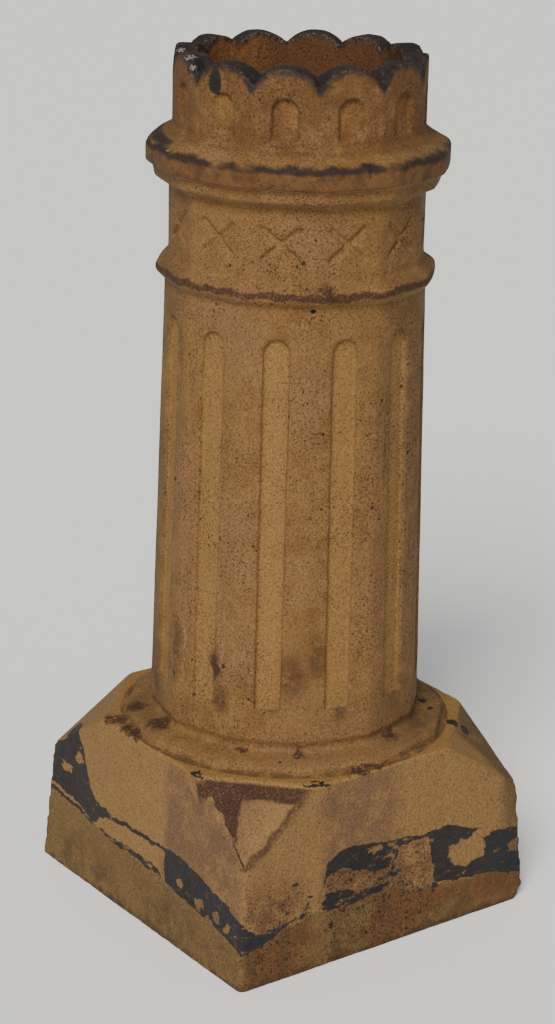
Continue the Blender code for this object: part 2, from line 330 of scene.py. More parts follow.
def side_offset(x, y):
    """How far a point lies along its own side, from the middle of that side."""
    turn = math.atan2(x, -y)
    from_middle = turn - (math.floor(turn / SIDE_ANGLE) + 0.5) * SIDE_ANGLE
    return math.hypot(x, y) * math.sin(from_middle)


def scallop_height(along):
    return POT_HEIGHT - SCALLOP_ARC + math.sqrt(max(SCALLOP_ARC**2 - along**2, 0.0))


bpy.ops.object.select_all(action="DESELECT")
bpy.ops.mesh.primitive_circle_add(vertices=SIDES, radius=CROWN_RADIUS + 0.004)
scallops = bpy.context.object
scallops.name = "scallop_cut"
edit_all("EDGE")
bpy.ops.mesh.subdivide(number_cuts=SCALLOP_STEPS - 1)
bpy.ops.mesh.select_all(action="SELECT")
for ratio in (0.87, 0.83):
    extrude_by(0, 0, 0)
    bpy.ops.transform.resize(value=(ratio, ratio, 1))
edges_ring = bmesh.from_edit_mesh(scallops.data)
for point in edges_ring.verts:
    point.co.z = scallop_height(side_offset(point.co.x, point.co.y))
bmesh.update_edit_mesh(scallops.data)
bpy.ops.mesh.select_mode(type="FACE")
bpy.ops.mesh.select_all(action="SELECT")
extrude_by(0, 0, SCALLOP_TOOL_HEIGHT)
close_outward(scallops)
join_shape(pot, scallops, "DIFFERENCE")

# The sunk work, pressed in by the mould: a flute, a saltire cross and a niche on each side.
# Flutes and niches have a level sill and a round head.
FLUTE = {"width": 0.030, "foot": SHAFT_FOOT + 0.033, "head": SHAFT_HEAD - 0.031,
         "depth": 0.0052, "draft": 0.0022}
NICHE = {"width": 0.028, "foot": CROWN_FOOT + 0.0075, "head": CROWN_FOOT + 0.050,
         "depth": 0.0043, "draft": 0.0012}
CROSS_CENTRE = (FRIEZE_FOOT + FRIEZE_HEAD) / 2
CROSS_WIDTH = 0.0410
CROSS_HEIGHT = 0.0370
CROSS_STROKE = 0.0076
CROSS_DEPTH = 0.0038
ARCH_STEPS = 28
SHAFT_LEAN = math.atan2((SHAFT_FOOT_RADIUS - SHAFT_HEAD_RADIUS) * FLAT, SHAFT_HEAD - SHAFT_FOOT)


def repeat_round(tool):
    """Turn a tool to the middle of the first side, then copy it to the others."""
    tool.data.transform(Matrix.Rotation(SIDE_ANGLE / 2, 4, "Z"))
    edit_all()
    copies = SIDES - 1
    bpy.ops.mesh.spin(
        steps=copies, dupli=True, angle=copies * SIDE_ANGLE, center=(0, 0, 0), axis=(0, 0, 1)
    )
    close_outward(tool)


def arched_tool(name, size, front, lean):
    """A round-headed panel that stands out from the flat by the overrun."""
    half = size["width"] / 2
    spring = size["head"] - half
    bpy.ops.object.select_all(action="DESELECT")
    bpy.ops.mesh.primitive_circle_add(
        vertices=ARCH_STEPS, radius=half, fill_type="NGON", rotation=(math.pi / 2, 0, 0),
        location=(0, 0, spring)
    )
    tool = bpy.context.object
    tool.name = name
    place_mesh(tool)
    edit_all()
    bpy.ops.mesh.bisect(plane_co=(0, 0, spring), plane_no=(0, 0, 1), clear_inner=True)
    pick_edges(tool, (spring,))
    extrude_by(0, 0, size["foot"] - spring)
    bpy.ops.mesh.select_mode(type="FACE")
    bpy.ops.mesh.select_all(action="SELECT")
    bpy.ops.transform.translate(value=(0, -OVERRUN, 0))
    extrude_by(0, OVERRUN + size["depth"], 0)
    long_side = size["head"] - size["foot"]
    bpy.ops.transform.resize(
        value=(1 - size["draft"] / half, 1, 1 - 2 * size["draft"] / long_side)
    )
    bpy.ops.mesh.select_all(action="SELECT")
    bpy.ops.transform.translate(value=(0, -front, 0))
    bpy.ops.object.mode_set(mode="OBJECT")
    tool.data.transform(
        Matrix.Translation((0, -SHAFT_FOOT_RADIUS * FLAT, SHAFT_FOOT))
        @ Matrix.Rotation(-lean, 4, "X")
        @ Matrix.Translation((0, SHAFT_FOOT_RADIUS * FLAT, -SHAFT_FOOT))
    )
    repeat_round(tool)
    return tool


def stroke_tool(name, lean):
    """One stroke of the crosses, with its ends cut square."""
    run = math.hypot(CROSS_WIDTH - CROSS_STROKE, CROSS_HEIGHT - CROSS_STROKE) + CROSS_STROKE
    bpy.ops.object.select_all(action="DESELECT")
    bpy.ops.mesh.primitive_cube_add(
        size=1, scale=(run, OVERRUN + CROSS_DEPTH, CROSS_STROKE),
        location=(0, -FRIEZE_RADIUS * FLAT + (CROSS_DEPTH - OVERRUN) / 2, CROSS_CENTRE)
    )
    tool = bpy.context.object
    tool.name = name
    place_mesh(tool)
    bpy.ops.object.mode_set(mode="EDIT")
    pick_faces(tool, lambda middle, normal: normal.y > 0.9)
    bpy.ops.transform.resize(value=(0.98, 1, 0.8))
    bpy.ops.object.mode_set(mode="OBJECT")
    centre = Matrix.Translation((0, 0, CROSS_CENTRE))
    tool.data.transform(centre @ Matrix.Rotation(lean, 4, "Y") @ centre.inverted())
    repeat_round(tool)
    return tool


CROSS_LEAN = math.atan2(CROSS_HEIGHT - CROSS_STROKE, CROSS_WIDTH - CROSS_STROKE)
join_shape(pot, arched_tool("flute_cut", FLUTE, SHAFT_FOOT_RADIUS * FLAT, SHAFT_LEAN), "DIFFERENCE")
join_shape(pot, arched_tool("niche_cut", NICHE, CROWN_RADIUS * FLAT, 0.0), "DIFFERENCE")
join_shape(pot, stroke_tool("rising_strokes", -CROSS_LEAN), "DIFFERENCE")
join_shape(pot, stroke_tool("falling_strokes", CROSS_LEAN), "DIFFERENCE")

# What firing, handling and a century of weather left of the sharp form: soft arrises, a skin
# that is never quite flat, a crown that the fire turned a little, and chips along the edges.
SKIN_CELL = 0.0018
SKIN_TRIANGLES = 190000
SHAFT_TURN = math.radians(0.7)
CROWN_TURN = math.radians(1.4)
SHAFT_TURNS = (PLINTH_HEIGHT, PLINTH_HEIGHT + 0.03)
CROWN_TURNS = (0.64, 0.86)
FACE_SWELL = 0.0018
SWELL_STARTS = (PLINTH_HEIGHT + 0.005, PLINTH_HEIGHT + 0.015)
ARRIS_SHARPNESS = (0.00012, 0.00075)
OUTER_SKIN = (0.118, 0.124)
PLINTH_FADES = (PLINTH_HEIGHT - 0.01, PLINTH_HEIGHT + 0.01)
EDGE_GRAIN = 0.011
BROAD_GRAIN = 0.055
FINE_GRAIN = 0.0048
WEAR = 0.0002
PLINTH_WEAR = 0.0007
KNOCK = 0.0006
PLINTH_KNOCK = 0.0020
BROAD_LUMPS = 0.00040
FINE_LUMPS = 0.00008
EDGE_LUMPS = 0.00010
CHIP_GRAIN = 130
CHIP_SHIFT = 3.1
CHIP_ROUGHNESS = 0.45
CHIPS = (
    ((-0.190, 0.190, 0.002), 0.010),
    ((0.192, -0.192, 0.004), 0.011),
    ((-0.1925, -0.1925, 0.0), 0.0085),
    ((-0.186, -0.188, 0.060), 0.0045),
    ((-0.1875, -0.1885, 0.028), 0.0055),
    ((-0.184, -0.186, 0.096), 0.004),
    ((0.194, 0.191, 0.0), 0.012),
    ((-0.100, 0.192, -0.002), 0.010),
    ((0.194, 0.060, -0.003), 0.012),
)


def apply_step(kind, **settings):
    """Add a modifier to the pot and apply it."""
    step = pot.modifiers.new(kind.lower(), kind)
    for name, value in settings.items():
        setattr(step, name, value)
    bpy.ops.object.select_all(action="DESELECT")
    bpy.context.view_layer.objects.active = pot
    bpy.ops.object.modifier_apply(modifier=step.name)


for number, (place, size) in enumerate(CHIPS):
    bpy.ops.object.select_all(action="DESELECT")
    bpy.ops.mesh.primitive_ico_sphere_add(subdivisions=3, radius=size, location=place)
    chip = bpy.context.object
    chip.name = "chip"
    place_mesh(chip)
    for point in chip.data.vertices:
        push = noise.noise(point.co * CHIP_GRAIN + Vector((number * CHIP_SHIFT, 0, 0)))
        point.co += point.normal * push * size * CHIP_ROUGHNESS
    join_shape(pot, chip, "DIFFERENCE")

apply_step("REMESH", mode="VOXEL", voxel_size=SKIN_CELL)
apply_step("SMOOTH", factor=0.5, iterations=2)


def read_points(attribute, width=3):
    values = np.empty(len(pot.data.vertices) * width, dtype=np.float32)
    pot.data.vertices.foreach_get(attribute, values)
    return values.reshape(-1, width).astype(np.float64)


def write_points(points):
    pot.data.vertices.foreach_set("co", points.astype(np.float32).ravel())
    pot.data.update()


def neighbour_mean(values, ends, count):
    """The mean of each point's neighbours, along the mesh's edges."""
    total = np.zeros_like(values)
    for column in range(values.shape[1]):
        total[:, column] = np.bincount(ends[:, 0], values[ends[:, 1], column], count)
        total[:, column] += np.bincount(ends[:, 1], values[ends[:, 0], column], count)
    degree = np.bincount(ends.ravel(), minlength=count)
    return total / degree[:, None]


def sharpness(points, normals, reach):
    """How far each point stands out of the skin smoothed round it, in metres."""
    ends = np.empty(len(pot.data.edges) * 2, dtype=np.int32)
    pot.data.edges.foreach_get("vertices", ends)
    ends = ends.reshape(-1, 2)
    smoothed = points
    for _ in range(reach):
        smoothed = 0.3 * smoothed + 0.7 * neighbour_mean(smoothed, ends, len(points))
    stands_out = ((points - smoothed) * normals).sum(axis=1)[:, None]
    for _ in range(2):
        stands_out = 0.5 * stands_out + 0.5 * neighbour_mean(stands_out, ends, len(points))
    return stands_out[:, 0]


def soft_step(values, low, high):
    share = np.clip((values - low) / (high - low), 0, 1)
    return share * share * (3 - 2 * share)


def noise_at(points, size, seed):
    """Smooth noise between about -1 and 1 at each point, with features of a given size."""
    shift = Vector((seed * 7.3, seed * 1.7, seed * 4.1))
    scale = 1 / size
    return np.array([noise.noise(Vector(point) * scale + shift) for point in points])


points = read_points("co")
normals = read_points("normal")
reach = 6
stands_out = sharpness(points, normals, reach)
arris = soft_step(stands_out, *ARRIS_SHARPNESS)
radius = np.hypot(points[:, 0], points[:, 1])
outside = soft_step(radius, *OUTER_SKIN)
outside[points[:, 2] < PLINTH_HEIGHT] = 1.0
near_ground = 1 - soft_step(points[:, 2], *PLINTH_FADES)
edge_noise = noise_at(points, EDGE_GRAIN, 1)
broad_noise = noise_at(points, BROAD_GRAIN, 2)
grain_noise = noise_at(points, FINE_GRAIN, 3)
knocks = soft_step(edge_noise, 0.05, 0.6)
worn = WEAR + PLINTH_WEAR * near_ground + (KNOCK + PLINTH_KNOCK * near_ground) * knocks
push = -arris * worn
push += outside * (BROAD_LUMPS * broad_noise + FINE_LUMPS * grain_noise + EDGE_LUMPS * edge_noise)
points += normals * push[:, None]

turn_of = np.arctan2(points[:, 0], -points[:, 1])
side_share = (turn_of / SIDE_ANGLE) % 1.0
swell = FACE_SWELL * np.sin(math.pi * side_share) * outside * soft_step(points[:, 2], *SWELL_STARTS)
radius = np.hypot(points[:, 0], points[:, 1])
points[:, :2] *= (1 + swell / radius)[:, None]
points[:, 2] = np.maximum(points[:, 2], 0.0)
write_points(points)

apply_step("DECIMATE", ratio=min(1.0, SKIN_TRIANGLES / (2.0 * len(pot.data.polygons))))

# What the finish needs to know of the form, kept on the mesh: how far under the scalloped
# edge, inside the flue, in the sunk work, on an arris or in a nook each point lies.
FLUE_SIDE = (0.1185, 0.1215)
PANEL_OUT = 0.115
EDGE_DEEPEST = 0.06

was_at = read_points("co")
normals = read_points("normal")
stands_out = sharpness(was_at, normals, 2)
turn_of = np.arctan2(was_at[:, 0], -was_at[:, 1])
from_middle = turn_of - (np.floor(turn_of / SIDE_ANGLE) + 0.5) * SIDE_ANGLE
radius = np.hypot(was_at[:, 0], was_at[:, 1])
along = radius * np.sin(from_middle)
standoff = radius * np.cos(from_middle)
edge_height = POT_HEIGHT - SCALLOP_ARC + np.sqrt(np.maximum(SCALLOP_ARC**2 - along**2, 0))
shaft_share = np.clip((was_at[:, 2] - SHAFT_FOOT) / (SHAFT_HEAD - SHAFT_FOOT), 0, 1)
shaft_radius = SHAFT_FOOT_RADIUS + (SHAFT_HEAD_RADIUS - SHAFT_FOOT_RADIUS) * shaft_share
face = np.where(was_at[:, 2] < SHAFT_HEAD, shaft_radius, FRIEZE_RADIUS)
face = np.where(was_at[:, 2] > CROWN_FOOT, CROWN_RADIUS, face) * FLAT
panel = (was_at[:, 2] > SHAFT_FOOT + 0.01) & (radius > PANEL_OUT)
MARKS = {
    "below_edge": np.clip(edge_height - was_at[:, 2], 0, EDGE_DEEPEST),
    "valley": soft_step(np.abs(along) / CROWN_HALF_SIDE, 0.55, 0.95),
    "inside": 1 - soft_step(radius, *FLUE_SIDE),
    "sunk": np.where(panel, soft_step(face + 0.0005 - standoff, 0.0012, 0.0034), 0.0),
    "arris": soft_step(stands_out, 0.00015, 0.0007),
    "nook": soft_step(-stands_out, 0.00010, 0.0006),
}
MARKS["inside"][was_at[:, 2] < SHAFT_FOOT] = 0.0
for name, values in MARKS.items():
    mark = pot.data.attributes.new(name, "FLOAT", "POINT")
    mark.data.foreach_set("value", values.astype(np.float32))

turn = SHAFT_TURN + (CROWN_TURN - SHAFT_TURN) * soft_step(was_at[:, 2], *CROWN_TURNS)
turn *= soft_step(was_at[:, 2], *SHAFT_TURNS)
turned = was_at.copy()
turned[:, 0] = was_at[:, 0] * np.cos(turn) - was_at[:, 1] * np.sin(turn)
turned[:, 1] = was_at[:, 0] * np.sin(turn) + was_at[:, 1] * np.cos(turn)
write_points(turned)
bpy.ops.object.select_all(action="DESELECT")
pot.select_set(True)
bpy.context.view_layer.objects.active = pot
bpy.ops.object.shade_smooth()

# The clay's finish, layer on layer: mottled buff fireclay full of iron specks, an orange
# flue, soot on the crown and cornice, dark red iron bloom, old bitumen round the plinth.
# Every layer is procedural and sits by its place on the pot, in metres.


def tone(red, green, blue):
    """A colour as the eye reads it, 0 to 255, turned to the shader's linear light."""
    return tuple(((part / 255 + 0.055) / 1.055) ** 2.4 for part in (red, green, blue)) + (1.0,)


clay = bpy.data.materials.new("weathered_fireclay")
clay.use_nodes = True
tree = clay.node_tree
shader = tree.nodes["Principled BSDF"]


def add_node(kind, inputs=(), **settings):
    """Add a node to the tree in hand, set it, and link or fill its inputs in order."""
    item = tree.nodes.new(kind)
    for name, value in settings.items():
        setattr(item, name, value)
    for socket, source in inputs:
        if isinstance(source, bpy.types.NodeSocket):
            tree.links.new(source, item.inputs[socket])
        else:
            item.inputs[socket].default_value = source
    return item


def sum_of(operation, *terms):
    return add_node("ShaderNodeMath", list(enumerate(terms)), operation=operation).outputs[0]


def vector_of(operation, *inputs):
    return add_node("ShaderNodeVectorMath", inputs, operation=operation)


def product(*masks):
    """Where all of the masks hold."""
    total = masks[0]
    for mask in masks[1:]:
        total = sum_of("MULTIPLY", total, mask)
    return total


def strongest(*masks):
    """Where any of the masks holds."""
    total = masks[0]
    for mask in masks[1:]:
        total = sum_of("MAXIMUM", total, mask)
    return total


def less(mask, share=1.0):
    """1 where the mask is 0, down to 1 less the share where it is 1."""
    return sum_of("MULTIPLY_ADD", mask, -share, 1.0)


def gap(value, line):
    """How far a value is from a line, on either side."""
    return sum_of("ABSOLUTE", sum_of("SUBTRACT", value, line))


def step_of(value, low, high, top=1.0, ramp="SMOOTHSTEP"):
    """A step from 0 to top as a value goes from low to high, or back if low is higher."""
    inputs = [("Value", value), ("From Min", low), ("From Max", high), ("To Max", top)]
    return add_node("ShaderNodeMapRange", inputs, interpolation_type=ramp).outputs[0]


def paint(under, over, mask):
    """One colour over another where the mask is 1."""
    inputs = [(0, mask), (6, under), (7, over)]
    return add_node("ShaderNodeMix", inputs, data_type="RGBA", blend_type="MIX").outputs[2]


def noise_of(scale, detail, roughness, at=None):
    inputs = [("Scale", scale), ("Detail", detail), ("Roughness", roughness)]
    inputs.append(("Vector", at or place))
    return add_node("ShaderNodeTexNoise", inputs).outputs[0]


def moved(amount, scale, detail=3.0, at=None):
    """The place on the pot, pushed about by noise so that edges drawn with it are ragged."""
    source = at or place
    inputs = [("Scale", scale), ("Detail", detail), ("Vector", source)]
    ragged = add_node("ShaderNodeTexNoise", inputs)
    centred = vector_of("SUBTRACT", (0, ragged.outputs[1]), (1, (0.5, 0.5, 0.5)))
    shifted = vector_of("SCALE", (0, centred.outputs[0]), ("Scale", amount))
    return vector_of("ADD", (0, source), (1, shifted.outputs[0])).outputs[0]


def patches(spots, at):
    """How near a place is to any of the spots: under 1 inside, 1 on a spot's rim.

    A spot is its centre and its half-width and half-height, all in metres.
    """
    nearest = None
    for x, y, z, half_width, half_height in spots:
        off = vector_of("SUBTRACT", (0, at), (1, (x, y, z)))
        spread = (1 / half_width, 1 / half_width, 1 / half_height)
        scaled = vector_of("MULTIPLY", (0, off.outputs[0]), (1, spread))
        reach = vector_of("LENGTH", (0, scaled.outputs[0])).outputs[1]
        nearest = reach if nearest is None else sum_of("MINIMUM", nearest, reach)
    return nearest


def line_round(points, top):
    """A value that follows a few points round the pot: bearing in degrees, and up to a top."""
    curve = add_node("ShaderNodeFloatCurve")
    line = curve.mapping.curves[0]
    curve.mapping.use_clip = False
    for index, (degrees, value) in enumerate(points):
        share = (degrees + 180) / 360
        if index in (0, len(points) - 1):
            line.points[0 if index == 0 else -1].location = (share, value / top)
        else:
            line.points.new(share, value / top)
    for point in line.points:
        point.handle_type = "VECTOR"
    curve.mapping.update()
    share_round = step_of(bearing, -math.pi, math.pi, 1.0, "LINEAR")
    tree.links.new(share_round, curve.inputs["Value"])
    return sum_of("MULTIPLY", curve.outputs[0], top)


RAGGED_PUSH = 0.011
STREAK_SQUASH = (1.0, 1.0, 0.07)

place = add_node("ShaderNodeTexCoord").outputs["Object"]
axes = add_node("ShaderNodeSeparateXYZ", [(0, place)]).outputs
height = axes[2]
level = vector_of("MULTIPLY", (0, place), (1, (1.0, 1.0, 0.0)))
out_from_axis = vector_of("LENGTH", (0, level.outputs[0])).outputs[1]
ragged_place = moved(RAGGED_PUSH, 60.0, 4.0)
ragged = add_node("ShaderNodeSeparateXYZ", [(0, ragged_place)]).outputs
ragged_height = ragged[2]
bearing = sum_of("ARCTAN2", ragged[0], sum_of("MULTIPLY", ragged[1], -1.0))
true_bearing = sum_of("ARCTAN2", axes[0], sum_of("MULTIPLY", axes[1], -1.0))

marks = [add_node("ShaderNodeAttribute", attribute_name=name).outputs["Fac"] for name in MARKS]
below_edge, valley, inside, sunk, arris_mark, nook_mark = marks

broad = noise_of(9.0, 3.0, 0.6)
medium = noise_of(38.0, 3.0, 0.62)
fine = noise_of(480.0, 2.0, 0.75)
slow_mottle = noise_of(25.0, 3.0, 0.62)
rough_mottle = noise_of(68.0, 3.0, 0.72)
close_mottle = noise_of(160.0, 3.0, 0.7)
pin_mottle = noise_of(520.0, 2.0, 0.7)
stretched = vector_of("MULTIPLY", (0, place), (1, STREAK_SQUASH)).outputs[0]
streaks = noise_of(110.0, 2.0, 0.6, stretched)

# Bare clay above the plinth: buff, mottled browner and pinker, cleaner in the flutes, brown on
# the crown and frieze, dark stains on the lower ribs, and olive painted shade on the unlit sides.
BUFF = tone(138, 103, 58)
BUFF_DEEP = tone(124, 89, 49)
BUFF_PINK = tone(138, 102, 66)
CLEAN_BUFF_AND_PAINTED_LIGHT = tone(152, 115, 64)
STAIN = tone(74, 50, 31)
OLIVE_PAINTED_SHADE = tone(98, 79, 48)
FRIEZE_BROWN = tone(131, 97, 57)
CROWN_BROWN = tone(108, 74, 41)
HALO = tone(74, 50, 32)
FRIEZE_STARTS = (FRIEZE_FOOT - 0.006, FRIEZE_FOOT + 0.004)
FRIEZE_ENDS = (FRIEZE_HEAD + 0.005, FRIEZE_HEAD - 0.005)
CROWN_STARTS = (CROWN_FOOT - 0.007, CROWN_FOOT - 0.002)
RIM_STARTS = (0.80, 0.85)
HALO_REACH = (0.016, 0.002)
RIGHT_SHADE = (-0.08, 0.35)
LEFT_SHADE = (-1.50, -1.90)
STAIN_SPOTS = (
    (-0.143, 0.000, 0.302, 0.010, 0.038),
    (-0.130, -0.048, 0.300, 0.009, 0.036),
    (-0.126, -0.060, 0.262, 0.012, 0.018),
    (-0.080, -0.116, 0.298, 0.020, 0.030),
    (-0.056, -0.127, 0.318, 0.014, 0.026),
    (-0.090, -0.100, 0.262, 0.010, 0.014),
    (-0.030, -0.134, 0.262, 0.012, 0.022),
    (0.040, -0.130, 0.262, 0.014, 0.030),
    (0.016, -0.137, 0.540, 0.004, 0.050),
    (0.060, -0.122, 0.420, 0.004, 0.040),
    (0.080, -0.118, 0.212, 0.034, 0.005),
    (0.020, -0.170, 0.203, 0.040, 0.003),
    (-0.136, 0.050, 0.260, 0.016, 0.040),
    (0.125, -0.060, 0.250, 0.014, 0.030),
)

colour = paint(BUFF, BUFF_DEEP, step_of(medium, 0.36, 0.68))
colour = paint(colour, BUFF_PINK, step_of(broad, 0.44, 0.62, 0.6))
colour = paint(colour, BUFF_DEEP, step_of(streaks, 0.52, 0.72, 0.35))
colour = paint(colour, CLEAN_BUFF_AND_PAINTED_LIGHT, product(sunk, 0.7))
stain = product(
    step_of(patches(STAIN_SPOTS, ragged_place), 1.25, 0.35),
    step_of(rough_mottle, 0.30, 0.52, 0.85),
    step_of(fine, 0.30, 0.56),
    less(sunk, 0.75),
)
colour = paint(colour, STAIN, stain)
# Painted shade: olive darkening on the sides turned from the light, by bearing.
side_painted_shade = strongest(step_of(bearing, *RIGHT_SHADE, 0.45), step_of(bearing, *LEFT_SHADE, 0.5))
side_painted_shade = product(side_painted_shade, less(sunk, 0.8), step_of(medium, 0.2, 0.6))
colour = paint(colour, OLIVE_PAINTED_SHADE, side_painted_shade)
on_frieze = product(step_of(height, *FRIEZE_STARTS), step_of(height, *FRIEZE_ENDS))
colour = paint(colour, FRIEZE_BROWN, product(on_frieze, step_of(medium, 0.36, 0.66, 0.60)))
on_crown = step_of(height, *CROWN_STARTS)
colour = paint(colour, CROWN_BROWN, product(on_crown, step_of(medium, 0.20, 0.60, 0.92)))
on_rim = step_of(height, *RIM_STARTS)
halo = product(step_of(below_edge, *HALO_REACH), on_rim, step_of(rough_mottle, 0.30, 0.62, 0.75))
colour = paint(colour, HALO, halo)

# The plinth's clay: buff with grey zones, rust by the near corner, olive painted shade on the far
# side, and a browner foot under a ragged line. Zones go by bearing: grey where they read 1, buff
# where 0.
PLINTH_BUFF = tone(147, 113, 67)
PLINTH_GREY = tone(114, 86, 62)
RUST = tone(108, 76, 50)
FOOT_BROWN = tone(118, 92, 54)
FOOT_ORANGE = tone(113, 76, 42)
FOOT_OLIVE = tone(76, 61, 35)
PLINTH_ENDS = (PLINTH_HEIGHT, PLINTH_HEIGHT - 0.004)
CORNER_RUST = ((-0.785, -0.765), (-0.44, -0.62), (0.125, 0.080))
BELT_RUST = ((-0.44, -0.36), (0.40, 0.30), (0.112, 0.100))
FAR_SIDE = ((0.70, 0.76), (2.0, 1.7))
RIGHT_FOOT_STARTS = (-0.80, -0.74)
LEDGE_STARTS = (PLINTH_HEIGHT - 0.0035, PLINTH_HEIGHT - 0.0015)
LEDGE_ENDS = (PLINTH_HEIGHT + 0.0035, PLINTH_HEIGHT + 0.002)
LEDGE_OUT = (0.168, 0.171)
BOTTOM_DARKENING_REACH = (0.011, 0.003)
GREY_ZONES = (
    (-180, 0.3), (-125, 0.1), (-80, 0.0), (-76, 0.9), (-50, 1.0), (-44, 0.35), (-30, 0.15),
    (-27, 0.05), (-22, 0.95), (-2, 0.8), (5, 0.7), (9, 0.0), (38, 0.05), (46, 0.9), (60, 0.9),
    (90, 0.4), (180, 0.3),
)
FOOT_LINE = (
    (-180, 0.052), (-150, 0.068), (-134, 0.083), (-125, 0.080), (-118, 0.0735), (-107, 0.0675),
    (-98, 0.0685), (-84, 0.0668), (-77, 0.066), (-70, 0.0607), (-57, 0.056), (-48, 0.045),
    (-44, 0.0404), (-41, 0.0473), (-34, 0.0545), (-27, 0.061), (-16, 0.0574), (-6, 0.063),
    (5, 0.060), (12, 0.048), (24, 0.0475), (37, 0.0415), (45, 0.0315), (70, 0.045),
    (110, 0.056), (180, 0.052),
)
LINE_TOP = 0.2

on_plinth = step_of(height, *PLINTH_ENDS)
greyed = product(line_round(GREY_ZONES, 1.0), step_of(medium, 0.25, 0.62))
colour = paint(colour, PLINTH_BUFF, product(on_plinth, 0.8))
colour = paint(colour, PLINTH_GREY, product(on_plinth, greyed))
foot_line = line_round(FOOT_LINE, LINE_TOP)
on_foot = step_of(sum_of("SUBTRACT", ragged_height, foot_line), 0.003, -0.002)
rust_zones = [
    product(step_of(bearing, *starts), step_of(bearing, *ends), step_of(ragged_height, *under))
    for starts, ends, under in (CORNER_RUST, BELT_RUST)
]
rust = product(strongest(*rust_zones), on_plinth)
colour = paint(colour, RUST, product(rust, step_of(rough_mottle, 0.34, 0.60, 0.95)))
# Painted shade: olive on the plinth's far side, turned from the light.
far_side_painted_shade = product(step_of(bearing, *FAR_SIDE[0]), step_of(bearing, *FAR_SIDE[1]), on_plinth)
colour = paint(colour, OLIVE_PAINTED_SHADE, product(far_side_painted_shade, step_of(medium, 0.15, 0.55, 0.9)))
colour = paint(colour, FOOT_BROWN, on_foot)
right_foot = product(on_foot, step_of(bearing, *RIGHT_FOOT_STARTS), step_of(broad, 0.36, 0.52))
colour = paint(colour, FOOT_ORANGE, right_foot)
olive = product(
    step_of(noise_of(34.0, 4.0, 0.85), 0.40, 0.66),
    step_of(ragged_height, 0.080, 0.030, 0.85),
    step_of(fine, 0.15, 0.60),
    on_foot,
)
colour = paint(colour, FOOT_OLIVE, olive)
# Painted light: the up-facing ledge round the collar painted a paler buff.
ledge = product(step_of(height, *LEDGE_STARTS), step_of(height, *LEDGE_ENDS))
colour = paint(colour, CLEAN_BUFF_AND_PAINTED_LIGHT, product(ledge, step_of(out_from_axis, *LEDGE_OUT, 0.8)))
# Darker along the bottom 11 mm of the plinth.
bottom_darkening = product(step_of(ragged_height, *BOTTOM_DARKENING_REACH), step_of(rough_mottle, 0.36, 0.56, 0.9))
colour = paint(colour, STAIN, bottom_darkening)

# The flue's clay: orange where the light falls on it, and painted paler elsewhere as painted light
# on its shaded wall; darker in its shaded corner, painted shade with soot.
FLUE_ORANGE = tone(98, 66, 38)
FLUE_PAINTED_LIGHT = tone(136, 92, 54)
FLUE_SOOT_AND_PAINTED_SHADE = tone(58, 41, 29)
FLUE_LIT_BEARING = 2.2
FLUE_SOOT_AND_SHADE_BEARING = 1.15

# Painted light: the flue's wall away from the lit side painted paler.
flue_clay_and_painted_light = paint(FLUE_ORANGE, FLUE_PAINTED_LIGHT, step_of(gap(true_bearing, FLUE_LIT_BEARING), 0.45, 1.0))
colour = paint(colour, flue_clay_and_painted_light, inside)
# Painted shade with soot: the flue's shaded corner darkened.
flue_shade = step_of(gap(true_bearing, FLUE_SOOT_AND_SHADE_BEARING), 0.55, 0.20)
colour = paint(colour, FLUE_SOOT_AND_PAINTED_SHADE, product(inside, flue_shade, step_of(medium, 0.15, 0.50, 0.9)))

# Iron specks, from a fine pepper to pits of a few millimetres, fewer in the flutes, on the
# frieze and on the plinth's clean zones. A layer is its cells' scale, the least and most
# radius, how rare the large ones are, and its strength.
SPECK = tone(80, 54, 36)
SPECK_DARK = tone(46, 30, 22)
SPECK_LAYERS = (
    (520.0, 0.00, 0.52, 2.5, 0.65),
    (260.0, -0.06, 0.34, 4.0, 0.80),
    (110.0, -0.14, 0.24, 4.0, 0.90),
)
SPECKS_START = (0.206, 0.225)

crowding = sum_of("SUBTRACT", noise_of(13.0, 2.0, 0.6), product(strongest(sunk, on_frieze), 0.07))
crowding = product(
    step_of(crowding, 0.25, 0.65),
    strongest(step_of(height, *SPECKS_START), sum_of("MULTIPLY_ADD", greyed, 0.7, 0.12)),
)
crowding = sum_of("MULTIPLY_ADD", rust, 0.9, crowding)
crowding = sum_of("MULTIPLY_ADD", on_foot, 0.35, crowding)
pepper = sum_of("MULTIPLY_ADD", crowding, 0.06, noise_of(460.0, 1.0, 0.6))
colour = paint(colour, SPECK, step_of(pepper, 0.59, 0.72, 0.65))
speck_place = moved(0.0016, 420.0, 1.0)
for scale, least, most, rarity, strength in SPECK_LAYERS:
    cells = add_node("ShaderNodeTexVoronoi", [("Scale", scale), ("Vector", speck_place)])
    size = add_node("ShaderNodeSeparateColor", [(0, cells.outputs["Color"])]).outputs[0]
    size = product(sum_of("POWER", size, rarity), sum_of("ADD", crowding, 0.22))
    rim = sum_of("MULTIPLY_ADD", size, most - least, least)
    speck = step_of(sum_of("SUBTRACT", rim, cells.outputs["Distance"]), 0.0, 0.10, strength)
    colour = paint(colour, SPECK_DARK, speck)

# Painted shade, with some dirt, darkening the nooks (less of it in the sunk work), the collar's
# upright edge and the seam at its foot; and pale rubbed lime along the arrises.
DIRT_AND_PAINTED_SHADE = tone(62, 42, 28)
LIME_AND_HIGHLIGHT = tone(160, 128, 94)
FLUTES_START = (FLUTE["foot"] - 0.021, FLUTE["foot"] - 0.011)
FLUTES_END = (FLUTE["head"] + 0.021, FLUTE["head"] + 0.011)
LIP_STARTS = (PLINTH_HEIGHT - 0.0005, PLINTH_HEIGHT + 0.001)
LIP_ENDS = (PLINTH_HEIGHT + 0.006, PLINTH_HEIGHT + 0.005)
LIP_OUT = (0.176, 0.174)
SEAM_HEIGHT = PLINTH_HEIGHT + 0.0010
SEAM_WIDTH = (0.0018, 0.0008)
SEAM_OUT = (0.1775, 0.1762)

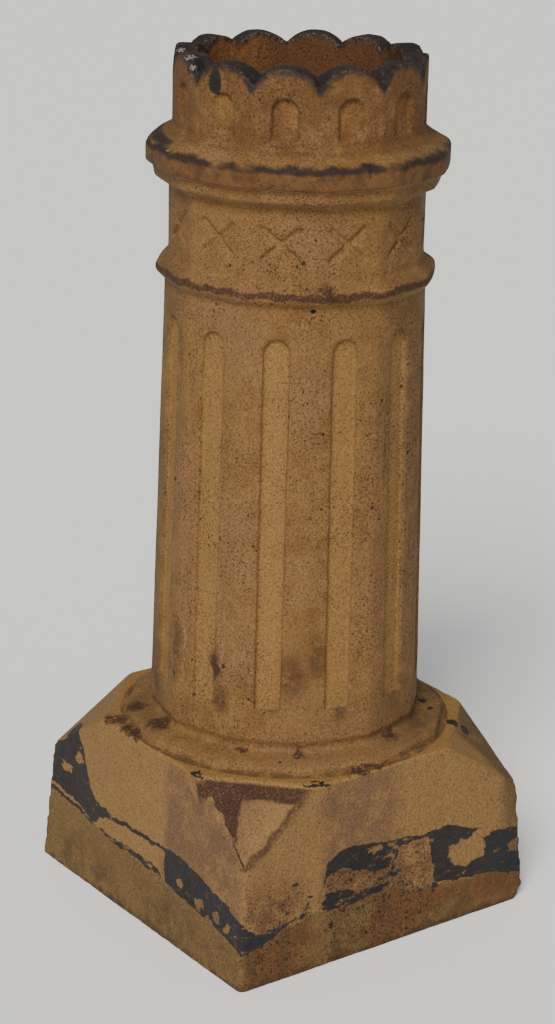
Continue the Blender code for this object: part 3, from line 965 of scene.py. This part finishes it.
on_flutes = product(step_of(height, *FLUTES_START), step_of(height, *FLUTES_END))
on_carved = strongest(on_frieze, on_crown, on_flutes)
lip_painted_shade = product(
    step_of(height, *LIP_STARTS),
    step_of(height, *LIP_ENDS),
    step_of(out_from_axis, *LIP_OUT, 0.7),
    step_of(close_mottle, 0.40, 0.62, 0.5),
)
seam_painted_shade = product(
    step_of(gap(height, SEAM_HEIGHT), *SEAM_WIDTH),
    step_of(out_from_axis, *SEAM_OUT),
    step_of(slow_mottle, 0.34, 0.50, 0.8),
)
# Painted shade in the nooks, on the collar's upright edge and along the seam at its foot.
nook_dirt_and_painted_shade = strongest(product(nook_mark, less(on_carved, 0.78)), lip_painted_shade, seam_painted_shade)
colour = paint(colour, DIRT_AND_PAINTED_SHADE, product(nook_dirt_and_painted_shade, step_of(medium, 0.20, 0.52, 0.85)))
rubbed = product(arris_mark, step_of(rough_mottle, 0.46, 0.66, 0.45), less(inside))
colour = paint(colour, LIME_AND_HIGHLIGHT, rubbed)

# Iron bloom: dark red-purple, speckled so that the clay shows through it. It runs along the
# astragal and lies in patches on the collar and round the near facet of the broach, where a
# bare triangle is left in it. The cornice's upright band is redder clay with stains.
BLOOM = tone(62, 38, 30)
CORNICE_RED = tone(103, 68, 37)
CORNICE_OUT = (0.136, 0.140)
CORNICE_BAND_STARTS = (0.8005, 0.803)
CORNICE_BAND_ENDS = (0.8215, 0.8185)
ASTRAGAL_ARRIS = SHAFT_HEAD + 0.0120
ASTRAGAL_BAND = (0.0052, 0.0022)
FACET_FOOT = CORNER_HEIGHT
FACET_SPREAD = 0.857
FACET_STARTS = (0.128, 0.134)
FACET_ENDS = (PLINTH_HEIGHT - 0.0025, PLINTH_HEIGHT - 0.0045)
CORNER_SIDE = (-0.06, -0.09)
FACET_EDGE = 0.001
FACET_LEFT = (-0.010, -0.014)
FACET_LEFT_STARTS = (0.150, 0.156)
FACET_TOP_STARTS = (0.183, 0.187)
LEFT_LINE_ENDS = (0.160, 0.150)
BLOOM_SPOTS = (
    (-0.141, 0.074, 0.211, 0.012, 0.010),
    (-0.150, 0.020, 0.212, 0.017, 0.007),
    (-0.170, 0.075, 0.200, 0.016, 0.005),
    (-0.175, 0.040, 0.200, 0.020, 0.004),
    (-0.115, -0.081, 0.214, 0.007, 0.004),
    (-0.076, -0.126, 0.212, 0.008, 0.010),
    (-0.020, -0.171, 0.202, 0.026, 0.003),
    (0.036, -0.140, 0.212, 0.010, 0.007),
    (-0.130, -0.050, 0.297, 0.008, 0.018),
    (-0.175, -0.104, 0.190, 0.014, 0.012),
    (-0.056, -0.127, 0.700, 0.011, 0.006),
    (-0.025, -0.146, 0.821, 0.008, 0.004),
)

spot_bloom = step_of(patches(BLOOM_SPOTS, moved(0.024, 70.0, 4.0)), 1.25, 0.60)
spot_bloom = product(spot_bloom, step_of(close_mottle, 0.30, 0.48))
astragal_bloom = step_of(gap(ragged_height, ASTRAGAL_ARRIS), *ASTRAGAL_BAND)
astragal_bloom = product(astragal_bloom, step_of(slow_mottle, 0.20, 0.46, 0.95))
across = product(sum_of("SUBTRACT", ragged[0], ragged[1]), math.sqrt(0.5))
spread = product(sum_of("SUBTRACT", ragged_height, FACET_FOOT), FACET_SPREAD)
right_of = sum_of("SUBTRACT", across, spread)
left_of = sum_of("ADD", across, spread)
near_corner = product(
    step_of(axes[0], *CORNER_SIDE),
    step_of(axes[1], *CORNER_SIDE),
    step_of(height, *FACET_ENDS),
    step_of(height, *FACET_STARTS),
)
on_facet = product(
    step_of(right_of, FACET_EDGE, -FACET_EDGE), step_of(left_of, -FACET_EDGE, FACET_EDGE)
)
upper_left = product(step_of(across, *FACET_LEFT), step_of(ragged_height, *FACET_LEFT_STARTS))
inner_bloom = product(strongest(upper_left, step_of(ragged_height, *FACET_TOP_STARTS)), on_facet)
right_band = product(step_of(right_of, -0.004, 0.000), step_of(right_of, 0.014, 0.002, 0.8))
left_line = product(
    step_of(left_of, -0.003, -0.001),
    step_of(left_of, 0.002, 0.000),
    step_of(height, *LEFT_LINE_ENDS),
)
facet_bloom = product(strongest(inner_bloom, right_band, left_line), near_corner)
bloom = strongest(spot_bloom, astragal_bloom, facet_bloom)
bloom = product(bloom, step_of(pin_mottle, 0.22, 0.50, 0.94))
on_cornice = step_of(out_from_axis, *CORNICE_OUT)
cornice_band = product(
    on_cornice,
    step_of(ragged_height, *CORNICE_BAND_STARTS),
    step_of(ragged_height, *CORNICE_BAND_ENDS, 0.85),
)
colour = paint(colour, CORNICE_RED, product(cornice_band, step_of(fine, 0.30, 0.60)))
colour = paint(colour, STAIN, product(cornice_band, step_of(rough_mottle, 0.40, 0.66, 0.8)))
colour = paint(colour, BLOOM, bloom)

# Soot: blue-black on the scalloped rim, wider in its valleys, and along the cornice's arris; pale
# rubbed wear with painted highlights on the rim's arrises.
SOOT = tone(27, 25, 27)
SOOT_GREY = tone(84, 72, 62)
CORNICE_SOOT = tone(38, 30, 29)
RIM_RAISED = 0.0060
RIM_RAGGED = 0.012
RIM_VALLEY = 0.0028
RIM_REACH = (0.0095, 0.0002)
CORNICE_SOOT_LINE = FRIEZE_HEAD + 0.0411
CORNICE_SOOT_BAND = (0.0056, 0.001)
SLOPE_SOOT_BEARING = (-1.66, -1.80)
SLOPE_SOOT_STARTS = (0.822, 0.826)

slope_soot = product(
    step_of(true_bearing, *SLOPE_SOOT_BEARING), step_of(height, *SLOPE_SOOT_STARTS)
)
arris_soot = strongest(
    step_of(gap(ragged_height, CORNICE_SOOT_LINE), *CORNICE_SOOT_BAND), slope_soot
)
arris_soot = product(arris_soot, step_of(slow_mottle, 0.14, 0.48, 0.9), on_cornice)
colour = paint(colour, CORNICE_SOOT, product(arris_soot, step_of(fine, 0.10, 0.42)))
rim_depth = sum_of("SUBTRACT", below_edge, RIM_RAISED)
rim_depth = sum_of("MULTIPLY_ADD", noise_of(90.0, 2.0, 0.6), RIM_RAGGED, rim_depth)
rim_depth = sum_of("MULTIPLY_ADD", valley, -RIM_VALLEY, rim_depth)
rim_soot = product(step_of(rim_depth, *RIM_REACH), on_rim)
rim_colour = paint(SOOT, SOOT_GREY, step_of(close_mottle, 0.50, 0.72, 0.5))
colour = paint(colour, rim_colour, product(rim_soot, 0.95))
# Rubbed wear and painted highlights: pale marks on the sooty rim's arrises.
colour = paint(colour, LIME_AND_HIGHLIGHT, product(rim_soot, arris_mark, step_of(pin_mottle, 0.50, 0.60, 0.6)))

# Old bitumen from the roof flashing: a ragged band round the plinth, flaked through in
# places, with runs and drops of it higher up. Slate-black and a little glossy.
TAR = tone(23, 23, 25)
TAR_BLUE = tone(27, 32, 40)
TAR_BROWN = tone(50, 39, 30)
TAR_STRETCH = (1.0, 1.0, 2.4)
TAR_BELTS_END = (0.19, 0.18)
LOWER_BELT_WEAR = 0.25
UPPER_TOP = (
    (-180, 0.100), (-150, 0.120), (-137, 0.135), (-130, 0.152), (-125, 0.160), (-123, 0.142),
    (-119, 0.111), (-114, 0.102), (-107, 0.098), (-99, 0.101), (-85, 0.101), (-71, 0.103),
    (-66, 0.102), (-60, 0.096), (-54, 0.090), (-49, 0.084), (-45, 0.076), (-43, 0.062),
    (-41, 0.058), (-38, 0.061), (-33, 0.063), (-26, 0.062), (-24, 0.090), (-23, 0.115),
    (-17, 0.122), (-12, 0.123), (-3, 0.118), (6, 0.116), (14, 0.112), (19, 0.112), (24, 0.1135),
    (32, 0.1025), (38, 0.094), (45, 0.084), (70, 0.100), (110, 0.105), (180, 0.100),
)
UPPER_FOOT = (
    (-180, 0.090), (-150, 0.085), (-134, 0.092), (-125, 0.087), (-118, 0.078), (-116, 0.074),
    (-114, 0.086), (-107, 0.0925), (-99, 0.0955), (-85, 0.0955), (-77, 0.098), (-76, 0.0665),
    (-70, 0.0607), (-63, 0.059), (-57, 0.0564), (-50, 0.050), (-45, 0.0415), (-42, 0.044),
    (-38, 0.0513), (-33, 0.061), (-26, 0.064), (-24, 0.088), (-23, 0.098), (-17, 0.104),
    (-14, 0.097), (-9, 0.095), (-5, 0.0855), (-1, 0.087), (4, 0.094), (6, 0.107), (10, 0.1075),
    (18, 0.106), (19, 0.054), (24, 0.048), (31, 0.046), (37, 0.0415), (45, 0.031), (70, 0.052),
    (110, 0.075), (180, 0.090),
)
LOWER_TOP = (
    (-180, 0.060), (-150, 0.075), (-134, 0.0875), (-125, 0.085), (-118, 0.0785),
    (-115, 0.0726), (-111, 0.0755), (-107, 0.0725), (-98, 0.0755), (-90, 0.077), (-84, 0.0745),
    (-79, 0.0745), (-77, 0.064), (-50, 0.046), (-45, 0.038), (-33, 0.052), (-30, 0.076),
    (-27, 0.078), (-22, 0.080), (-16, 0.0775), (-11, 0.069), (-6, 0.073), (-1, 0.0795),
    (5, 0.085), (8, 0.066), (12, 0.0546), (17, 0.050), (20, 0.054), (22, 0.044), (45, 0.028),
    (70, 0.05), (110, 0.062), (180, 0.060),
)
WORN_TAR = (
    (-180, 0.5), (-136, 0.1), (-124, 0.15), (-112, 0.35), (-80, 0.35), (-74, 0.2), (-48, 0.3),
    (-40, 0.45), (-33, 0.7), (-26, 0.8), (-22, 0.3), (-10, 0.2), (-6, 0.45), (8, 0.75),
    (17, 0.6), (20, 0.2), (34, 0.25), (45, 0.2), (80, 0.5), (180, 0.5),
)
TAR_SPOTS = (
    (-0.180, 0.150, 0.160, 0.022, 0.010),
    (0.120, -0.074, 0.212, 0.005, 0.004),
    (0.121, -0.086, 0.212, 0.006, 0.004),
    (0.118, -0.102, 0.210, 0.006, 0.003),
    (0.132, -0.128, 0.199, 0.008, 0.005),
    (0.144, -0.132, 0.189, 0.008, 0.005),
    (-0.122, -0.027, 0.895, 0.0085, 0.013),
    (-0.125, 0.008, 0.905, 0.012, 0.009),
    (-0.172, -0.084, 0.199, 0.009, 0.0014),
    (-0.090, -0.168, 0.199, 0.010, 0.0015),
    (-0.078, -0.172, 0.199, 0.009, 0.0012),
    (-0.118, -0.186, 0.1005, 0.0055, 0.0022),
    (-0.121, -0.186, 0.096, 0.0022, 0.005),
    (-0.110, -0.186, 0.103, 0.003, 0.0012),
    (-0.100, -0.186, 0.083, 0.004, 0.0014),
    (-0.127, -0.186, 0.074, 0.0026, 0.0012),
)
BARE_SPOTS = (
    (0.110, -0.185, 0.076, 0.026, 0.015),
    (0.133, -0.184, 0.091, 0.020, 0.004),
    (0.177, -0.186, 0.066, 0.007, 0.008),
    (-0.014, -0.183, 0.111, 0.009, 0.004),
    (-0.185, -0.074, 0.074, 0.005, 0.005),
    (-0.186, -0.110, 0.066, 0.007, 0.008),
    (-0.186, -0.142, 0.064, 0.006, 0.006),
    (-0.186, -0.159, 0.061, 0.005, 0.006),
    (-0.186, -0.128, 0.056, 0.006, 0.003),
    (-0.182, 0.151, 0.117, 0.012, 0.005),
    (-0.181, 0.127, 0.138, 0.009, 0.006),
)

torn_place = moved(0.004, 230.0, 3.0, ragged_place)
torn_height = add_node("ShaderNodeSeparateXYZ", [(0, torn_place)]).outputs[2]
drawn_out = vector_of("MULTIPLY", (0, place), (1, TAR_STRETCH)).outputs[0]
tar_wear = noise_of(60.0, 5.0, 0.78, drawn_out)
worn_share = line_round(WORN_TAR, 1.0)


def tar_belt(top_line, foot_line, wear, rim_share):
    """A belt of bitumen between two lines, worn through in the middle but less at its rims."""
    from_top = sum_of("SUBTRACT", top_line, torn_height)
    from_foot = sum_of("SUBTRACT", torn_height, foot_line)
    depth = sum_of("MINIMUM", from_top, from_foot)
    worn_from = sum_of("MULTIPLY_ADD", wear, -0.22, 0.68)
    holes = step_of(sum_of("SUBTRACT", tar_wear, worn_from), -0.02, 0.03)
    rim_keeps = step_of(depth, 0.0035, 0.0012, rim_share)
    return product(step_of(depth, -0.0004, 0.0009), less(product(holes, less(rim_keeps))))


upper_top = line_round(UPPER_TOP, LINE_TOP)
upper_foot = line_round(UPPER_FOOT, LINE_TOP)
lower_top = line_round(LOWER_TOP, LINE_TOP)
upper_belt = tar_belt(upper_top, upper_foot, worn_share, 0.7)
lower_belt = tar_belt(lower_top, foot_line, sum_of("ADD", worn_share, LOWER_BELT_WEAR), 0.3)
bare = step_of(patches(BARE_SPOTS, moved(0.018, 110.0, 4.0)), 1.08, 0.92)
tar = product(strongest(upper_belt, lower_belt), less(bare), step_of(height, *TAR_BELTS_END))
tar = strongest(tar, step_of(patches(TAR_SPOTS, torn_place), 1.08, 0.90))
tar_colour = paint(TAR, TAR_BLUE, step_of(broad, 0.42, 0.60))
tar_colour = paint(tar_colour, TAR_BROWN, step_of(tar_wear, 0.44, 0.62, 0.7))
colour = paint(colour, tar_colour, product(tar, 0.96))

# Lime and old paint flecks, grey ash runs beside some flutes, and a few burnt pits.
WHITE = tone(205, 195, 180)
ASH = tone(164, 140, 116)
PIT = tone(22, 14, 10)
FLECK_SPOTS = (
    (-0.122, 0.019, 0.911, 0.008, 0.0022),
    (-0.098, 0.069, 0.909, 0.005, 0.002),
    (-0.126, 0.008, 0.903, 0.005, 0.003),
    (-0.150, 0.015, 0.823, 0.004, 0.0012),
    (-0.045, 0.100, 0.908, 0.004, 0.002),
)
ASH_SPOTS = (
    (-0.140, -0.012, 0.320, 0.0022, 0.070),
    (-0.126, -0.061, 0.310, 0.0022, 0.070),
    (-0.023, -0.136, 0.282, 0.0022, 0.035),
)
PIT_SPOTS = (
    (-0.066, -0.117, 0.680, 0.003, 0.0025),
    (-0.073, -0.117, 0.682, 0.0018, 0.0018),
    (-0.143, 0.003, 0.274, 0.002, 0.0025),
    (-0.132, -0.024, 0.279, 0.0014, 0.002),
    (-0.170, 0.051, 0.204, 0.002, 0.0014),
    (0.045, -0.127, 0.258, 0.0018, 0.003),
    (0.056, -0.130, 0.224, 0.0014, 0.0014),
    (-0.098, -0.125, 0.210, 0.0016, 0.001),
)

flecks = step_of(patches(FLECK_SPOTS, moved(0.004, 260.0)), 1.05, 0.8)
colour = paint(colour, WHITE, product(flecks, step_of(pin_mottle, 0.44, 0.60, 0.7)))
ash = step_of(patches(ASH_SPOTS, ragged_place), 1.1, 0.5)
colour = paint(colour, ASH, product(ash, step_of(medium, 0.40, 0.6, 0.35)))
colour = paint(colour, PIT, step_of(patches(PIT_SPOTS, moved(0.0012, 500.0)), 1.1, 0.85))

# Fine grain over everything, then a matt skin, smoother under bitumen and soot, with a
# shallow grain in relief.
GRAIN_CONTRAST = 0.62
GRAIN_LEAST = 0.43
CLAY_ROUGHNESS = 0.78
ROUGHNESS_SPREAD = 0.14
TAR_GLOSS = 0.22
SOOT_GLOSS = 0.16
RELIEF_DEPTH = 0.0009

grain = step_of(fine, 0.25, 0.75, 1.0, "LINEAR")
grain = sum_of("MULTIPLY_ADD", grain, GRAIN_CONTRAST, GRAIN_LEAST)
graded = vector_of("SCALE", (0, colour), ("Scale", grain)).outputs[0]
tree.links.new(graded, shader.inputs["Base Color"])
roughness = sum_of("MULTIPLY_ADD", medium, ROUGHNESS_SPREAD, CLAY_ROUGHNESS)
roughness = sum_of("MULTIPLY_ADD", tar, -TAR_GLOSS, roughness)
roughness = sum_of("MULTIPLY_ADD", rim_soot, -SOOT_GLOSS, roughness)
tree.links.new(roughness, shader.inputs["Roughness"])
shader.inputs["Specular IOR Level"].default_value = 0.25
relief = sum_of("MULTIPLY_ADD", noise_of(120.0, 1.0, 0.6), 1.6, noise_of(420.0, 2.0, 0.7))
inputs = [("Height", relief), ("Strength", 0.8), ("Distance", RELIEF_DEPTH)]
bump = add_node("ShaderNodeBump", inputs)
tree.links.new(bump.outputs[0], shader.inputs["Normal"])

pot.data.materials.clear()
pot.data.materials.append(clay)
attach(pot, "root")
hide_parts("chimney_pot")
